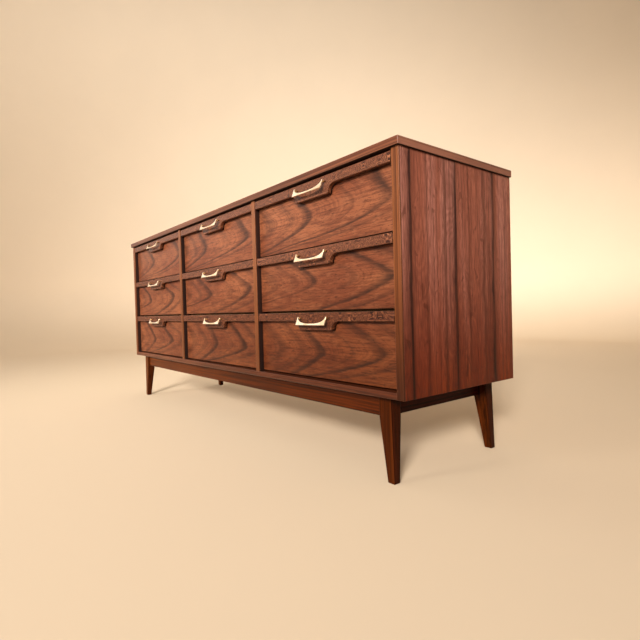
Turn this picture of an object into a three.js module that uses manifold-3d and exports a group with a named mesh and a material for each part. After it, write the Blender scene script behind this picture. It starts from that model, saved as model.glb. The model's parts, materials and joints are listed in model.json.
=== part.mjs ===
// A long low dresser: a veneered case of three columns of three drawers, standing on a
// separate base frame with four tapered legs. Every drawer carries a shaped pull rail along
// its top edge and a slanted brass pull on the rail.
// Millimetres. X is the width, Y runs from the front to the back, Z is up.
// Inside the groups Y = 0 is the front plane of the case and Z = 0 is the floor.

import * as THREE from 'three';
import { ConvexGeometry } from 'three/addons/geometries/ConvexGeometry.js';
import { mergeVertices } from 'three/addons/utils/BufferGeometryUtils.js';
import Module from 'manifold-3d';

const wasm = await Module();
wasm.setup();

// ---- driving dimensions --------------------------------------------------------------------

// case
const caseWidth = 1829;
const caseDepth = 461;
const caseHeight = 560;
const floorClearance = 206;
const topThickness = 18.5;
const topOverhangSide = 6;
const topOverhangFront = 8;
const sideThickness = 22;
const dividerThickness = 18.5;
const bottomThickness = 16;
const bottomRailDepth = 40;
const backThickness = 6;
const backInset = 3;
const backRabbet = 10;
const topRailDepth = 50;
const topRailThickness = 18.5;
const dustBoardThickness = 12;
const fitGap = 0.3;

// drawers, from the top row to the bottom row
const columnNames = ['left', 'centre', 'right'];
const rowNames = ['top', 'middle', 'bottom'];
const frontHeights = [174, 169, 179.5];
const topReveal = 5;
const rowReveal = 6;
const frontSideGap = 1.5;
const frontRecess = 17.5;
const frontThickness = 19;
const boxSideGap = 2;
const boxWall = 12;
const boxDepth = 400;
const boxTopDrop = 20;
const boxGlideGap = 0.5;
const boxBottomThickness = 5;
const boxBottomRaise = 9;

// pull rail along the top edge of a drawer front
const railThickness = 16;
const railSideGap = 3;
const railEndHeight = 23.5;
const railCentreHeight = 47.5;
const railDropHalfWidth = 70;
const railShoulderRun = 28;

// brass pull
const pullWidth = 125;
const pullHeight = 23.5;
const pullBelowRailTop = 33.3;
const pullMiddleHeight = 4.5;
const pullTipWidth = 4;
const pullThickness = 3;
const pullStandOff = 18.5;
const pullLean = THREE.MathUtils.degToRad(21);
const pullCurvePower = 2.4;
const pullCurveSteps = 20;
const postRadius = 2.4;
const postBelowTip = 3.6;

// base frame
const legInsetSide = 62;
const legInsetFront = 24;
const legInsetBack = 8;
const legWidth = 39;
const legDepth = 34;
const footWidth = 22;
const footDepth = 19;
const footSplay = 6;
const apronHeight = 52;
const apronThickness = 18;
const frontApronInset = 7;
const sideApronInset = 23;

// ---- values that follow --------------------------------------------------------------------

const caseTop = floorClearance + caseHeight;
const innerHalfWidth = caseWidth / 2 - sideThickness;
const dividerCount = columnNames.length - 1;
const columnWidth = (2 * innerHalfWidth - dividerCount * dividerThickness) / columnNames.length;
const columnPitch = columnWidth + dividerThickness;
const bottomTop = floorClearance + bottomThickness;
const backPlane = caseDepth - backInset;
const innerBack = backPlane - backThickness;
const frontBackFace = frontRecess + frontThickness;
const carcassFront = frontBackFace + 2;
const apronBottom = floorClearance - apronHeight;
const railFace = frontRecess - railThickness;

// ---- colours -------------------------------------------------------------------------------

const finish = (color, roughness, metalness = 0) => () =>
  new THREE.MeshStandardMaterial({ color, roughness, metalness });
const caseWalnut = finish('#6b3a24', 0.38);
const frontWalnut = finish('#8a4a2a', 0.34);
const burlWalnut = finish('#6a3b2a', 0.34);
const baseWalnut = finish('#3d1f14', 0.42);
const drawerWood = finish('#c9a677', 0.6);
const boardWood = finish('#a98a63', 0.7);
const brass = finish('#d9a86a', 0.2, 1);

// ---- helpers -------------------------------------------------------------------------------

// A rectangular block between two corners.
function block([x0, x1], [y0, y1], [z0, z1]) {
  const geometry = new THREE.BoxGeometry(x1 - x0, y1 - y0, z1 - z0);
  return geometry.translate((x0 + x1) / 2, (y0 + y1) / 2, (z0 + z1) / 2);
}

// A flat outline extruded straight, with as many steps on its curves as asked for.
function extrude(shape, depth, curveSegments = 1) {
  return new THREE.ExtrudeGeometry(shape, { depth, curveSegments, bevelEnabled: false });
}

// An outline drawn in X and Z, extruded towards the back from the plane Y = 0.
function extrudeBack(shape, depth, curveSegments) {
  const geometry = extrude(shape, depth, curveSegments);
  return geometry.rotateX(Math.PI / 2).translate(0, depth, 0);
}

function outline(...points) {
  return new THREE.Shape(points.map(([x, y]) => new THREE.Vector2(x, y)));
}

function toSolid(geometry) {
  const bare = geometry.clone();
  bare.deleteAttribute('normal');
  bare.deleteAttribute('uv');
  const merged = mergeVertices(bare, 1e-4);
  return new wasm.Manifold(new wasm.Mesh({
    numProp: 3,
    vertProperties: new Float32Array(merged.attributes.position.array),
    triVerts: new Uint32Array(merged.index.array),
  }));
}

function fromSolid(solid) {
  const mesh = solid.getMesh();
  const geometry = new THREE.BufferGeometry();
  geometry.setAttribute('position', new THREE.BufferAttribute(mesh.vertProperties, mesh.numProp));
  geometry.setIndex(new THREE.BufferAttribute(mesh.triVerts, 1));
  geometry.computeVertexNormals();
  return geometry;
}

function piece(group, name, geometry, makeMaterial) {
  const mesh = new THREE.Mesh(geometry, makeMaterial());
  mesh.name = name;
  group.add(mesh);
  return mesh;
}

// ---- case ----------------------------------------------------------------------------------

// A side panel is a board with a rabbet for the back along its rear inner edge. The outline is
// the section seen from above.
function sidePanel(hand) {
  const outer = hand * caseWidth / 2;
  const inner = hand * innerHalfWidth;
  const rabbet = hand * (innerHalfWidth + backRabbet);
  const section = outline([inner, 0], [outer, 0], [outer, caseDepth], [rabbet, caseDepth],
    [rabbet, innerBack], [inner, innerBack]);
  return extrude(section, caseHeight).translate(0, 0, floorClearance);
}

// A divider is notched at its top front for the rail that ties the case together. The outline
// is drawn in Y and Z and turned to stand along X.
function divider(centre) {
  const notchBack = carcassFront + topRailDepth + fitGap;
  const notchBottom = caseTop - topRailThickness - fitGap;
  const section = outline([0, bottomTop], [innerBack, bottomTop], [innerBack, caseTop],
    [notchBack, caseTop], [notchBack, notchBottom], [carcassFront - fitGap, notchBottom],
    [carcassFront - fitGap, caseTop], [0, caseTop]);
  const board = extrude(section, dividerThickness);
  // (x, y, z) of the drawn outline becomes (z, x, y)
  board.applyMatrix4(new THREE.Matrix4().set(0, 0, 1, 0, 1, 0, 0, 0, 0, 1, 0, 0, 0, 0, 0, 1));
  return board.translate(centre - dividerThickness / 2, 0, 0);
}

function buildCase() {
  const group = new THREE.Group();
  const innerSpan = [-innerHalfWidth, innerHalfWidth];
  const topHalfWidth = caseWidth / 2 + topOverhangSide;
  const topBoard = block([-topHalfWidth, topHalfWidth], [-topOverhangFront, caseDepth],
    [caseTop, caseTop + topThickness]);
  piece(group, 'top_panel', topBoard, caseWalnut);
  piece(group, 'side_left', sidePanel(-1), caseWalnut);
  piece(group, 'side_right', sidePanel(1), caseWalnut);
  piece(group, 'divider_left', divider(-columnPitch / 2), caseWalnut);
  piece(group, 'divider_right', divider(columnPitch / 2), caseWalnut);
  const bottomSpan = [floorClearance, bottomTop];
  piece(group, 'bottom_rail', block(innerSpan, [0, bottomRailDepth], bottomSpan), caseWalnut);
  piece(group, 'bottom_panel', block(innerSpan, [bottomRailDepth, innerBack], bottomSpan),
    boardWood);
  const topRail = block(innerSpan, [carcassFront, carcassFront + topRailDepth],
    [caseTop - topRailThickness, caseTop]);
  piece(group, 'top_front_rail', topRail, boardWood);
  const backHalf = innerHalfWidth + backRabbet - fitGap;
  const back = block([-backHalf, backHalf], [innerBack + fitGap, backPlane],
    [floorClearance, caseTop]);
  piece(group, 'back_panel', back, boardWood);
  return group;
}

// ---- drawers -------------------------------------------------------------------------------

// Lowest and highest level of the drawer front in each row.
const rows = [];
let rowTop = caseTop - topReveal;
for (const height of frontHeights) {
  rows.push({ low: rowTop - height, high: rowTop });
  rowTop -= height + rowReveal;
}

// Each row above the lowest one runs on a dust board, whose front edge hides behind the gap
// between two drawer fronts.
const dustBoardTop = (row) => rows[row].low - rowReveal / 2 + dustBoardThickness / 2;
const runningLevel = (row) => (row === rows.length - 1 ? bottomTop : dustBoardTop(row));

function dustBoard(row) {
  const high = dustBoardTop(row);
  const half = columnWidth / 2 - fitGap;
  return block([-half, half], [carcassFront, innerBack], [high - dustBoardThickness, high]);
}

// The box is an open tray: four walls round a bottom that is let in above their lower edges.
function drawerBox(row) {
  const half = columnWidth / 2 - boxSideGap;
  const low = runningLevel(row) + boxGlideGap;
  const high = rows[row].high - boxTopDrop;
  const back = frontBackFace + boxDepth;
  const bottomTopFace = low + boxBottomRaise + boxBottomThickness;
  const innerX = [-half + boxWall, half - boxWall];
  const innerY = [frontBackFace + boxWall, back - boxWall];
  const whole = toSolid(block([-half, half], [frontBackFace, back], [low, high]));
  const inside = toSolid(block(innerX, innerY, [bottomTopFace, high + 1]));
  const under = toSolid(block(innerX, innerY, [low - 1, low + boxBottomRaise]));
  return fromSolid(whole.subtract(inside).subtract(under));
}

// The rail is low at its ends and drops in the middle, behind the pull, with hollow shoulders.
function pullRail() {
  const half = columnWidth / 2 - railSideGap;
  const shoulder = railDropHalfWidth + railShoulderRun;
  const drop = railCentreHeight - railEndHeight;
  const face = new THREE.Shape();
  face.moveTo(-half, 0);
  face.lineTo(-half, -railEndHeight);
  face.lineTo(-shoulder, -railEndHeight);
  face.absellipse(-shoulder, -railCentreHeight, railShoulderRun, drop, Math.PI / 2, 0, true);
  face.lineTo(railDropHalfWidth, -railCentreHeight);
  face.absellipse(shoulder, -railCentreHeight, railShoulderRun, drop, Math.PI, Math.PI / 2, true);
  face.lineTo(half, -railEndHeight);
  face.lineTo(half, 0);
  return extrudeBack(face, railThickness, 8);
}

// The pull is a plate with straight sides and lower edge. Its upper edge is one deep curve that
// leaves two thin upright tips, and a post behind each tip stands on the rail. The plate leans
// back, so its lower edge stands furthest out. It is made with its lower edge at Z = 0 and the
// rail's face on Y = 0.
function brassPull() {
  const half = pullWidth / 2;
  const curveHalf = half - pullTipWidth;
  const curveDepth = pullHeight - pullMiddleHeight;
  const plate = new THREE.Shape();
  plate.moveTo(-half, 0);
  plate.lineTo(half, 0);
  plate.lineTo(half, pullHeight);
  for (let i = 0; i <= pullCurveSteps; i += 1) {
    const angle = (Math.PI * i) / pullCurveSteps;
    const side = Math.sign(Math.cos(angle));
    const across = Math.abs(Math.cos(angle)) ** (2 / pullCurvePower);
    const down = Math.abs(Math.sin(angle)) ** (2 / pullCurvePower);
    plate.lineTo(side * curveHalf * across, pullHeight - curveDepth * down);
  }
  plate.lineTo(-half, pullHeight);
  const leaning = extrudeBack(plate, pullThickness).rotateX(-pullLean);
  leaning.translate(0, -pullStandOff, 0);
  let solid = toSolid(leaning);
  const postLevel = (pullHeight - postBelowTip) * Math.cos(pullLean);
  const postStart = (pullHeight - postBelowTip) * Math.sin(pullLean) - pullStandOff + 1;
  const postX = half - postRadius;
  for (const hand of [-1, 1]) {
    const post = new THREE.CylinderGeometry(postRadius, postRadius, -postStart, 12);
    post.translate(hand * postX, postStart / 2, postLevel);
    solid = solid.add(toSolid(post));
  }
  return fromSolid(solid);
}

function buildDrawers() {
  const group = new THREE.Group();
  columnNames.forEach((column, columnIndex) => {
    const columnGroup = new THREE.Group();
    columnGroup.position.x = (columnIndex - dividerCount / 2) * columnPitch;
    group.add(columnGroup);
    rowNames.forEach((row, rowIndex) => {
      const place = `${column}_${row}`;
      const { low, high } = rows[rowIndex];
      const frontHalf = columnWidth / 2 - frontSideGap;
      const front = block([-frontHalf, frontHalf], [frontRecess, frontBackFace], [low, high]);
      piece(columnGroup, `drawer_front_${place}`, front, frontWalnut);
      piece(columnGroup, `drawer_box_${place}`, drawerBox(rowIndex), drawerWood);
      const rail = piece(columnGroup, `pull_rail_${place}`, pullRail(), burlWalnut);
      rail.position.set(0, railFace, high);
      const pull = piece(columnGroup, `brass_pull_${place}`, brassPull(), brass);
      pull.position.set(0, railFace, high - pullBelowRailTop);
      if (rowIndex < rows.length - 1) {
        piece(columnGroup, `dust_board_${place}`, dustBoard(rowIndex), boardWood);
      }
    });
  });
  return group;
}

// ---- base ----------------------------------------------------------------------------------

// A leg is rectangular beside the aprons. Below them its two inner faces taper to the foot. Its
// outer front or back face stays upright, and its outer side face splays a little to the foot.
// It is made with its outer corner edge at the origin and its inner side towards +X and +Y times
// the given hands.
function leg(handX, handY) {
  const corners = [];
  const addLevel = (level, width, depth, splay = 0) => {
    for (const x of [-handX * splay, handX * (width - splay)]) {
      for (const y of [0, handY * depth]) corners.push(new THREE.Vector3(x, y, level));
    }
  };
  addLevel(0, footWidth, footDepth, footSplay);
  addLevel(apronBottom, legWidth, legDepth);
  addLevel(floorClearance, legWidth, legDepth);
  return new ConvexGeometry(corners);
}

function buildBase() {
  const group = new THREE.Group();
  const legX = caseWidth / 2 - legInsetSide;
  const legFront = legInsetFront;
  const legBack = caseDepth - legInsetBack;
  for (const [xName, handX] of [['left', -1], ['right', 1]]) {
    for (const [yName, y, handY] of [['front', legFront, 1], ['back', legBack, -1]]) {
      const mesh = piece(group, `leg_${yName}_${xName}`, leg(-handX, handY), baseWalnut);
      mesh.position.set(handX * legX, y, 0);
    }
  }
  const apronSpan = [apronBottom, floorClearance];
  const longSpan = [-legX + legWidth, legX - legWidth];
  const shortSpan = [legFront + legDepth, legBack - legDepth];
  const frontFace = legFront + frontApronInset;
  const backFace = legBack - frontApronInset;
  piece(group, 'apron_front', block(longSpan, [frontFace, frontFace + apronThickness], apronSpan),
    baseWalnut);
  piece(group, 'apron_back', block(longSpan, [backFace - apronThickness, backFace], apronSpan),
    baseWalnut);
  for (const [name, hand] of [['left', -1], ['right', 1]]) {
    const outer = hand * (legX - sideApronInset);
    const inner = outer - hand * apronThickness;
    const span = [Math.min(outer, inner), Math.max(outer, inner)];
    piece(group, `apron_${name}`, block(span, shortSpan, apronSpan), baseWalnut);
  }
  return group;
}

// ---- assembly ------------------------------------------------------------------------------

// The origin is on the floor under the middle of the whole piece, pulls and top included.
const pullFront = railFace - pullStandOff;
const foremost = Math.min(pullFront, -topOverhangFront);

const dresser = new THREE.Group();
dresser.name = 'dresser';
dresser.add(buildCase(), buildDrawers(), buildBase());
dresser.position.y = -(foremost + caseDepth) / 2;

export default dresser;
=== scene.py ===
"""The looks of the nine-drawer dresser: veneers, solid edges, drawer joinery, cast brass pulls,
lights and camera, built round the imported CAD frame. Metres, +Z up, the front faces -Y."""

import json
import math
import random

import bmesh
import bpy
from mathutils import Matrix, Vector


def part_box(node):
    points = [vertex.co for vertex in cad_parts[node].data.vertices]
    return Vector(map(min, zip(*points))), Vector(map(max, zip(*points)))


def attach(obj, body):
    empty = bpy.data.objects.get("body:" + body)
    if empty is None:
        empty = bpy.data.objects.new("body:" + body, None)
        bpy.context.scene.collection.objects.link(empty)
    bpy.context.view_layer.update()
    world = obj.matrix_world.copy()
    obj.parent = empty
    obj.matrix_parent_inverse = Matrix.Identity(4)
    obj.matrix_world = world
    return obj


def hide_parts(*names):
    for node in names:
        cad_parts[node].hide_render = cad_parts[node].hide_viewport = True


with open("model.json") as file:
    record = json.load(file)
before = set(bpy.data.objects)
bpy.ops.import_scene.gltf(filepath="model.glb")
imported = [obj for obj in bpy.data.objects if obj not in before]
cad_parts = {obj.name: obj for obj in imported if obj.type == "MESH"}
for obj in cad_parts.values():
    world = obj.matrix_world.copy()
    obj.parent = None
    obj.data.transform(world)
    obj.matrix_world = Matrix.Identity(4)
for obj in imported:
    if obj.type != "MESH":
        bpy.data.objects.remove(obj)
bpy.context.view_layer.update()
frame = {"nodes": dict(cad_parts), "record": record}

MM = 0.001
ARRIS_ANGLE = 30
COLUMNS = ("left", "centre", "right")
ROWS = ("top", "middle", "bottom")
BODY_OF = {n: b for b, nodes in frame["record"]["behaviour"]["bodies"].items() for n in nodes}
PLACES = [f"{column}_{row}" for column in COLUMNS for row in ROWS]


# ---- mesh helpers ---------------------------------------------------------------------------

def new_object(name, bm, materials, body, smooth=True):
    """Finishes a bmesh as a named piece that rides on a body."""
    bmesh.ops.recalc_face_normals(bm, faces=bm.faces)
    mesh = bpy.data.meshes.new(name)
    bm.to_mesh(mesh)
    bm.free()
    for material in materials:
        mesh.materials.append(material)
    mesh.polygons.foreach_set("use_smooth", [smooth] * len(mesh.polygons))
    piece = bpy.data.objects.new(name, mesh)
    bpy.context.scene.collection.objects.link(piece)
    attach(piece, body)
    return piece


def flatten_shading(piece):
    """Keeps the flat faces of a rounded piece flat in the shading."""
    piece.modifiers.new("normals", "WEIGHTED_NORMAL").keep_sharp = True


def soften(piece, radius, segments=2):
    """Rounds the arrises."""
    bevel = piece.modifiers.new("arris", "BEVEL")
    bevel.width = radius
    bevel.segments = segments
    bevel.limit_method = "ANGLE"
    bevel.angle_limit = math.radians(ARRIS_ANGLE)
    flatten_shading(piece)


def add_block(bm, low, high):
    """Adds a block between two corners."""
    corners = [(x, y, z) for x in (low[0], high[0]) for y in (low[1], high[1])
               for z in (low[2], high[2])]
    verts = [bm.verts.new(c) for c in corners]
    for ids in ((0, 1, 3, 2), (4, 6, 7, 5), (0, 4, 5, 1), (2, 3, 7, 6), (0, 2, 6, 4), (1, 5, 7, 3)):
        bm.faces.new([verts[i] for i in ids])


def inset_outline(points, distance):
    """Moves a counter-clockwise outline inwards, each corner along its mitre."""
    result = []
    count = len(points)
    for i, point in enumerate(points):
        before = Vector(points[i - 1])
        here = Vector(point)
        after = Vector(points[(i + 1) % count])
        into = (here - before).normalized()
        out = (after - here).normalized()
        normal = Vector((-into.y, into.x)) + Vector((-out.y, out.x))
        normal.normalize()
        reach = distance / max(0.5, normal.dot(Vector((-into.y, into.x))))
        result.append(here + normal * reach)
    return result


def add_rings(bm, outline, rings, place):
    """Builds a closed slab from an outline: rings are (inset, depth) pairs from one face to the
    other, and place turns (across, up, depth) into a point."""
    loops = []
    for inset, depth in rings:
        points = inset_outline(outline, inset) if inset else outline
        loops.append([bm.verts.new(place(p[0], p[1], depth)) for p in points])
    count = len(outline)
    for first, second in zip(loops, loops[1:]):
        for i in range(count):
            j = (i + 1) % count
            bm.faces.new((first[i], first[j], second[j], second[i]))
    bm.faces.new(loops[0][::-1])
    bm.faces.new(loops[-1])


def round_rings(back, front, radius, both=False, steps=3):
    """Rings of a slab whose front arris, or both arrises, are rounded."""
    arc = [(radius * (1 - math.cos(math.pi / 2 * i / steps)),
            radius * (1 - math.sin(math.pi / 2 * i / steps))) for i in range(steps + 1)]
    turn = 1 if front > back else -1
    front_side = [(inset, front - turn * drop) for inset, drop in arc]
    if both:
        return [(inset, back + turn * drop) for inset, drop in reversed(arc)] + front_side
    return [(0, back)] + front_side


def arc_points(centre, radii, start, end, steps):
    """Points on an elliptical arc, angles in degrees, both ends included."""
    points = []
    for i in range(steps + 1):
        angle = math.radians(start + (end - start) * i / steps)
        points.append((centre[0] + radii[0] * math.cos(angle),
                       centre[1] + radii[1] * math.sin(angle)))
    return points


def cad_copy(node):
    """A copy of a CAD mesh with its triangles joined into flat faces."""
    bm = bmesh.new()
    bm.from_mesh(frame["nodes"][node].data)
    bmesh.ops.remove_doubles(bm, verts=bm.verts, dist=1e-6)
    bmesh.ops.dissolve_limit(bm, angle_limit=math.radians(1), verts=bm.verts, edges=bm.edges)
    return bm


def from_cad(name, node, materials, radius=1.2 * MM, segments=2, choose=None):
    """Stands a softened copy in for a CAD node. choose(normal) gives a face's material."""
    bm = cad_copy(node)
    bm.normal_update()
    for face in bm.faces:
        face.material_index = choose(face.normal) if choose else 0
    piece = new_object(name, bm, materials, BODY_OF[node])
    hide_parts(node)
    soften(piece, radius, segments)


# ---- material helpers -----------------------------------------------------------------------

def linear(hex_colour):
    """A hex colour as linear RGBA."""
    values = [int(hex_colour[i:i + 2], 16) / 255 for i in (1, 3, 5)]
    return tuple(v / 12.92 if v <= 0.04045 else ((v + 0.055) / 1.055) ** 2.4 for v in values) + (1.0,)


class Nodes:
    """A short way to write a material's node tree."""

    def __init__(self, name):
        self.material = bpy.data.materials.new(name)
        self.material.use_nodes = True
        self.tree = self.material.node_tree
        self.shader = self.tree.nodes["Principled BSDF"]
        self.coordinates = self.add("ShaderNodeTexCoord").outputs["Object"]

    def add(self, kind, inputs=(), **settings):
        node = self.tree.nodes.new(kind)
        for key, value in settings.items():
            setattr(node, key, value)
        for key, value in dict(inputs).items():
            self.put(node.inputs[key], value)
        return node

    def put(self, socket, value):
        if isinstance(value, bpy.types.NodeSocket):
            self.tree.links.new(value, socket)
        else:
            socket.default_value = value

    def math(self, operation, a, b=0.0, c=0.0, clamp=False):
        return self.add("ShaderNodeMath", {0: a, 1: b, 2: c}, operation=operation,
                        use_clamp=clamp).outputs[0]

    def stretch(self, scale, shift=(0, 0, 0), source=None):
        scaled = self.add("ShaderNodeVectorMath", {0: source or self.coordinates, 1: scale},
                          operation="MULTIPLY").outputs[0]
        if shift == (0, 0, 0):
            return scaled
        return self.add("ShaderNodeVectorMath", {0: scaled, 1: shift}, operation="ADD").outputs[0]

    def noise(self, vector, scale=1.0, detail=2.0, roughness=0.5, distortion=0.0):
        return self.add("ShaderNodeTexNoise", {
            "Vector": vector, "Scale": scale, "Detail": detail, "Roughness": roughness,
            "Distortion": distortion}).outputs["Fac"]

    def span(self, value, low, high, to_low=0.0, to_high=1.0):
        return self.add("ShaderNodeMapRange", {
            "Value": value, "From Min": low, "From Max": high, "To Min": to_low,
            "To Max": to_high}, interpolation_type="SMOOTHSTEP").outputs["Result"]

    def blend(self, factor, first, second):
        """A number between two numbers."""
        return self.math("MULTIPLY_ADD", factor, self.math("SUBTRACT", second, first), first)

    def mix(self, factor, first, second, blend="MIX"):
        node = self.tree.nodes.new("ShaderNodeMix")
        node.data_type = "RGBA"
        node.blend_type = blend
        self.put(node.inputs[0], factor)
        self.put(node.inputs[6], first)
        self.put(node.inputs[7], second)
        return node.outputs[2]

    def split(self, vector):
        return self.add("ShaderNodeSeparateXYZ", {0: vector}).outputs

    def attribute(self, name):
        return self.add("ShaderNodeAttribute", attribute_name=name).outputs["Vector"]

    def arris_mask(self, radius=2.2 * MM):
        """1 on the arrises and 0 on the flat faces."""
        rounded = self.add("ShaderNodeBevel", {"Radius": radius}, samples=4).outputs[0]
        straight = self.add("ShaderNodeNewGeometry").outputs["Normal"]
        dot = self.add("ShaderNodeVectorMath", {0: rounded, 1: straight}, operation="DOT_PRODUCT")
        return self.span(dot.outputs["Value"], 0.985, 0.86)

    def painted_shade_gradient(self, colour, low):
        """Painted shade and sheen: the colour takes the low tint near the floor, most on the right
        and little on the left, so the top and the left stay lighter as painted sheen."""
        x, _, level = self.split(self.coordinates)
        depth = self.math("MULTIPLY", self.span(level, 0.66, 0.17), self.span(x, -1.2, 0.7, 0.1, 1.0))
        tint = self.mix(depth, (1.0, 1.0, 1.0, 1.0), (*low, 1.0))
        return self.mix(1.0, colour, tint, "MULTIPLY")

    def finish(self, colour, roughness, height, bump=0.25, distance=0.4 * MM, coat=0.25,
               coat_roughness=0.2, metallic=0.0, specular=0.5):
        bumped = self.add("ShaderNodeBump", {"Height": height, "Strength": bump,
                                             "Distance": distance}).outputs[0]
        for key, value in {"Base Color": colour, "Roughness": roughness, "Normal": bumped,
                           "Coat Weight": coat, "Coat Roughness": coat_roughness,
                           "Metallic": metallic, "Specular IOR Level": specular}.items():
            self.put(self.shader.inputs[key], value)
        return self.material


def along(axis, low, high):
    """A scale that is low along the grain and high across it."""
    return tuple(low if name == axis else high for name in "XYZ")


def pores(nodes, axis, shift=0.0):
    """Short dark open pores along the grain: 1 in a pore."""
    fleck = nodes.noise(nodes.stretch(along(axis, 34, 1250), (shift, shift, shift)), detail=1.5)
    patch = nodes.noise(nodes.stretch(along(axis, 6, 60), (3.1, shift, 0.7)), detail=2)
    return nodes.math("MULTIPLY", nodes.span(fleck, 0.60, 0.72), nodes.span(patch, 0.36, 0.62))


def grain_lines(nodes, axis, across, length, shift=0.0, wobble=0.35):
    """Growth lines: long streaks that wander a little across the grain."""
    drift = nodes.noise(nodes.stretch(along(axis, 2.4, 7.0), (shift, 1.7, shift)), detail=2)
    vector = nodes.stretch(along(axis, length, across), (shift, 0.3, 2 * shift))
    moved = nodes.add("ShaderNodeVectorMath", {
        0: vector, 1: nodes.math("MULTIPLY", drift, wobble * across * 0.02)},
        operation="ADD").outputs[0]
    return nodes.noise(moved, detail=4, roughness=0.62)


def straight_wood(name, pale, mid, dark, axis, across=70, length=1.1, streaks=0.5, shift=0.0,
                  coat=0.25, roughness=(0.34, 0.5), bump=0.25, arris_wear_and_highlight=0.35, arris_wear_and_highlight_colour=None,
                  low=(0.46, 0.36, 0.28), specular=0.25):
    """Straight-grained wood: growth lines, wide colour streaks, pores, arrises lightened by wear and
    in part as a painted highlight, and painted shade near the floor in the low tint.
    """
    nodes = Nodes(name)
    lines = grain_lines(nodes, axis, across, length, shift)
    wide = nodes.noise(nodes.stretch(along(axis, 0.8, 11), (shift, shift, 5.0)), detail=3)
    cloud = nodes.noise(nodes.stretch((5, 5, 5), (1.0, shift, 0)), detail=3)
    colour = nodes.mix(nodes.span(lines, 0.32, 0.68), linear(dark), linear(pale))
    colour = nodes.mix(nodes.math("MULTIPLY", nodes.span(wide, 0.40, 0.66), streaks), colour,
                       linear(mid))
    colour = nodes.mix(nodes.span(cloud, 0.35, 0.7, 0.0, 0.22), colour, linear(dark), "MULTIPLY")
    hole = pores(nodes, axis, shift)
    colour = nodes.mix(nodes.math("MULTIPLY", hole, 0.6), colour, linear(dark), "MULTIPLY")
    # Arris colour: wear, and on the pale level edges and the bottom rail a painted highlight.
    edge = nodes.math("MULTIPLY", nodes.arris_mask(), nodes.span(cloud, 0.3, 0.6, 0.3, 1.0))
    colour = nodes.mix(nodes.math("MULTIPLY", edge, arris_wear_and_highlight), colour, linear(arris_wear_and_highlight_colour or pale))
    rough = nodes.span(nodes.math("ADD", lines, nodes.math("MULTIPLY", hole, 0.5)), 0.3, 1.1,
                       *roughness)
    height = nodes.math("SUBTRACT", nodes.math("MULTIPLY", lines, 0.4), hole)
    return nodes.finish(nodes.painted_shade_gradient(colour, low), rough, height, bump=bump, coat=coat,
                        specular=specular)


# ---- walnut on the drawer fronts ------------------------------------------------------------

# Each row's veneer is cut from one flitch. Its figure is a nest of arches lying on their side,
# with their crowns to the right. Per row and arch: the crown from the front's lower left corner,
# the run of the upper and of the lower limb for a step up or down, and the bend of the lower one.
ARCHES = {
    "top": ((0.259, 0.0855, 1.25, 0.25, 40), (0.565, 0.0830, 1.15, 0.25, 78)),
    "middle": ((0.262, 0.0745, 1.90, 0.50, 115), (0.556, 0.0835, 2.70, 1.00, 28)),
    "bottom": ((0.307, 0.0725, 1.60, 2.00, 5), (0.523, 0.0725, 1.80, 2.60, 28)),
}
# How far each sheet of a flitch is slid along its row, for the top, middle and bottom row.
SLIDES = {"left": (-0.030, -0.085, -0.085), "centre": (-0.045, -0.024, -0.036),
          "right": (0.0, 0.0, 0.0)}
CROWN_ROUND = 0.014


def band(nodes, field, centre, width_before, width_after):
    """A soft dark band round one value of the field, fading differently on its two sides."""
    offset = nodes.math("SUBTRACT", field, centre)
    rise = nodes.span(offset, -width_before, 0.0)
    fall = nodes.span(offset, width_after, 0.0)
    return nodes.math("MULTIPLY", rise, fall)


def arch(nodes, which, x, z, slow, quick):
    """Distance to the right of one arch: 0 along it, negative inside."""
    crown_x, crown_z, bend = nodes.split(nodes.attribute(f"{which}_crown"))
    run_up, run_down, _ = nodes.split(nodes.attribute(f"{which}_runs"))
    rise = nodes.math("MULTIPLY_ADD", slow, 0.030, nodes.math("SUBTRACT", z, crown_z))
    above = nodes.span(rise, -0.010, 0.010)
    square = nodes.math("MULTIPLY", rise, rise)
    reach = nodes.math("SQRT", nodes.math("ADD", square, CROWN_ROUND ** 2))
    reach = nodes.math("MULTIPLY", nodes.math("SUBTRACT", reach, CROWN_ROUND),
                       nodes.blend(above, run_down, run_up))
    sweep = nodes.math("MULTIPLY", nodes.math("MULTIPLY", bend, square),
                       nodes.math("SUBTRACT", 1.0, above))
    field = nodes.math("ADD", nodes.math("SUBTRACT", x, crown_x), nodes.math("ADD", reach, sweep))
    field = nodes.math("MULTIPLY_ADD", slow, 0.060, field)
    return nodes.math("MULTIPLY_ADD", quick, 0.024, field)


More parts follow.
